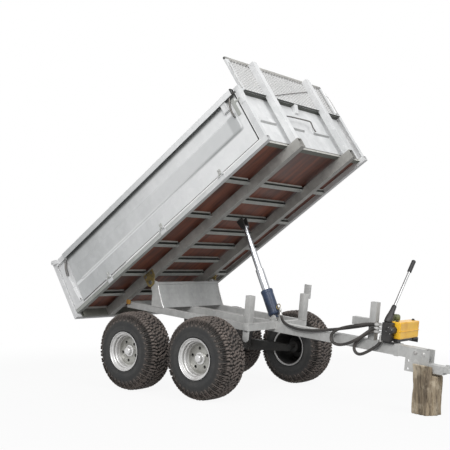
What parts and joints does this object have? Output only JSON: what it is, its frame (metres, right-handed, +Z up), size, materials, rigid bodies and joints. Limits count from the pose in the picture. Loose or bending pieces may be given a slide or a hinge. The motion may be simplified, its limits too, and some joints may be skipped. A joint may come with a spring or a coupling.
{
  "type": "dump trailer",
  "caption": "Small galvanised tipping trailer with its bed raised on a telescopic cylinder, with drop sides, a top-hung tailgate, a mesh headboard guard and a walking-beam bogie.",
  "frame": {"origin": "on the ground, below the middle of the whole trailer", "axes": "+X forward along the drawbar, +Y to the trailer's left, +Z up"},
  "size_m": [3.5722, 1.5394, 2.694],
  "materials": {
    "galvanised": "hot-dip galvanised, dull with spangle",
    "plywood": "film-faced plywood",
    "log_wood": "weathered split log",
    "tyre": "dusty rubber",
    "rim_paint": "silver paint",
    "blue_paint": "dark blue gloss",
    "chrome": "hard chrome",
    "yellow_paint": "yellow gloss paint",
    "black_paint": "black paint",
    "grip_rubber": "matte",
    "yellow_zinc": "yellow passivated zinc",
    "olive_paint": "olive green paint",
    "hose_rubber": "matte"
  },
  "bodies": {
    "chassis": {"arm_post": "galvanised", "bogie_beam_left": "galvanised", "bogie_beam_right": "galvanised", "bogie_hangers": "galvanised", "bogie_tube": "galvanised", "chassis_crossbeams": "galvanised", "chassis_rails": "galvanised", "coupling": "galvanised", "cylinder_foot": "yellow_zinc", "drawbar": "galvanised", "hitch_plates": "galvanised", "hose_feed": "hose_rubber", "hose_link": "hose_rubber", "hose_return": "hose_rubber", "pivot_pins": "galvanised", "post_lugs": "galvanised", "pump_base": "black_paint", "pump_grip": "grip_rubber", "pump_head": "black_paint", "pump_lever": "black_paint", "pump_strap": "galvanised", "pump_tank": "yellow_paint", "pump_valve": "olive_paint", "support_log": "log_wood", "support_posts": "galvanised", "tower_sheets": "galvanised", "tower_sides": "galvanised"},
    "wheel_front_right": {"tyre_front_right": "tyre", "rim_front_right": "rim_paint"},
    "wheel_front_left": {"tyre_front_left": "tyre", "rim_front_left": "rim_paint"},
    "wheel_rear_right": {"tyre_rear_right": "tyre", "rim_rear_right": "rim_paint"},
    "wheel_rear_left": {"tyre_rear_left": "tyre", "rim_rear_left": "rim_paint"},
    "side_right_body": {"side_right": "galvanised", "side_fittings_right": "galvanised"},
    "side_left_body": {"side_left": "galvanised", "side_fittings_left": "galvanised"},
    "tailgate_body": {"tailgate": "galvanised"},
    "barrel_body": {"cylinder_barrel": "blue_paint"},
    "stage_1_body": {"cylinder_stage_1": "chrome"},
    "stage_2_body": {"cylinder_stage_2": "chrome"},
    "stage_3_body": {"cylinder_stage_3": "chrome"},
    "bed": {"bed_longitudinals": "galvanised", "bed_side_rails": "galvanised", "bed_cross_members": "galvanised", "bed_end_beams": "galvanised", "bed_floor": "plywood", "headboard": "galvanised", "corner_posts": "galvanised", "uprights": "galvanised", "mesh_guard": "galvanised", "pivot_plates": "yellow_zinc", "hinge_brackets": "galvanised", "top_bracket": "yellow_zinc"}
  },
  "joints": [
    {"name": "spin_front_right", "type": "hinge", "parent": "chassis", "child": "wheel_front_right", "pos_m": [-0.02547, -0.631, 0.33], "axis": [0, 1, 0], "continuous": true},
    {"name": "spin_front_left", "type": "hinge", "parent": "chassis", "child": "wheel_front_left", "pos_m": [-0.02547, 0.631, 0.33], "axis": [0, 1, 0], "continuous": true},
    {"name": "spin_rear_right", "type": "hinge", "parent": "chassis", "child": "wheel_rear_right", "pos_m": [-0.81146, -0.631, 0.33], "axis": [0, 1, 0], "continuous": true},
    {"name": "spin_rear_left", "type": "hinge", "parent": "chassis", "child": "wheel_rear_left", "pos_m": [-0.81146, 0.631, 0.33], "axis": [0, 1, 0], "continuous": true},
    {"name": "bed_tip", "type": "hinge", "parent": "chassis", "child": "bed", "pos_m": [-0.8539, 0, 0.8985], "axis": [0, 1, 0], "range_deg": [0, 39]},
    {"name": "side_drop_right", "type": "hinge", "parent": "bed", "child": "side_right_body", "pos_m": [-0.43051, -0.742, 1.34548], "axis": [0.8329, 0, 0.5534], "range_deg": [0, 160]},
    {"name": "side_drop_left", "type": "hinge", "parent": "bed", "child": "side_left_body", "pos_m": [-0.43051, 0.742, 1.34548], "axis": [-0.8329, 0, -0.5534], "range_deg": [0, 160]},
    {"name": "tailgate_swing", "type": "hinge", "parent": "bed", "child": "tailgate_body", "pos_m": [-1.7642, 0, 1.05247], "axis": [0, 1, 0], "range_deg": [0, 75]},
    {"name": "cylinder_tilt", "type": "hinge", "parent": "chassis", "child": "barrel_body", "pos_m": [0.19246, 0, 0.62984], "axis": [0, 1, 0], "range_deg": [-18.05, 0]},
    {"name": "stage_1_slide", "type": "slide", "parent": "barrel_body", "child": "stage_1_body", "axis": [-0.4078, 0, 0.913], "range_m": [-0.18512, 0]},
    {"name": "stage_2_slide", "type": "slide", "parent": "stage_1_body", "child": "stage_2_body", "axis": [-0.4078, 0, 0.913], "range_m": [-0.18512, 0]},
    {"name": "stage_3_slide", "type": "slide", "parent": "stage_2_body", "child": "stage_3_body", "axis": [-0.4078, 0, 0.913], "range_m": [-0.18512, 0]}
  ],
  "couplings": [
    {"joint": "cylinder_tilt", "follows": "bed_tip", "ratio": -0.4614},
    {"joint": "stage_1_slide", "follows": "bed_tip", "m_per_rad": -0.27168},
    {"joint": "stage_2_slide", "follows": "bed_tip", "m_per_rad": -0.27168},
    {"joint": "stage_3_slide", "follows": "bed_tip", "m_per_rad": -0.27168}
  ]
}
